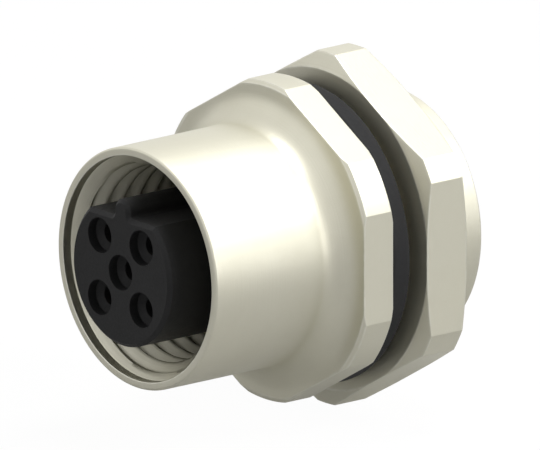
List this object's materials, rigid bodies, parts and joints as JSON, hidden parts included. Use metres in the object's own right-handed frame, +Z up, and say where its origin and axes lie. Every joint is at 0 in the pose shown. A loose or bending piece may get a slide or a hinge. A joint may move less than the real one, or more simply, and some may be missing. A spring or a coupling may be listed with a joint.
{
  "type": "panel mount circular connector socket",
  "caption": "Round panel socket with internal coupling thread, hexagon flange, black keyed contact insert, panel gasket and rear lock nut.",
  "frame": {"origin": "on the axis, in the rear face of the hexagon flange, where the gasket and the panel seat", "axes": "+Y along the axis from the mating face to the wire side, +Z up through the key at 12 o'clock, +X to the right seen from the mating side"},
  "size_m": [0.018, 0.0222, 0.02],
  "materials": {
    "plated_brass": "satin nickel plating on brass",
    "gasket_rubber": "matt moulded",
    "insert_plastic": "matt moulded",
    "spring_steel": "bright drawn",
    "gold_plating": "gold plating on brass"
  },
  "bodies": {
    "connector": {"shell": "plated_brass", "panel_gasket": "gasket_rubber", "contact_insert": "insert_plastic", "insert_seal": "gasket_rubber", "rear_insulator": "insert_plastic", "retaining_ring": "spring_steel", "contact_1": "gold_plating", "contact_2": "gold_plating", "contact_3": "gold_plating", "contact_4": "gold_plating", "contact_5": "gold_plating", "contact_hood_1": "spring_steel", "contact_hood_2": "spring_steel", "contact_hood_3": "spring_steel", "contact_hood_4": "spring_steel", "contact_hood_5": "spring_steel"},
    "nut": {"lock_nut": "plated_brass"}
  },
  "joints": [
    {"name": "nut_travel", "type": "slide", "parent": "connector", "child": "nut", "axis": [0, 1, 0], "range_m": [-0.0006, 0.0028]}
  ]
}
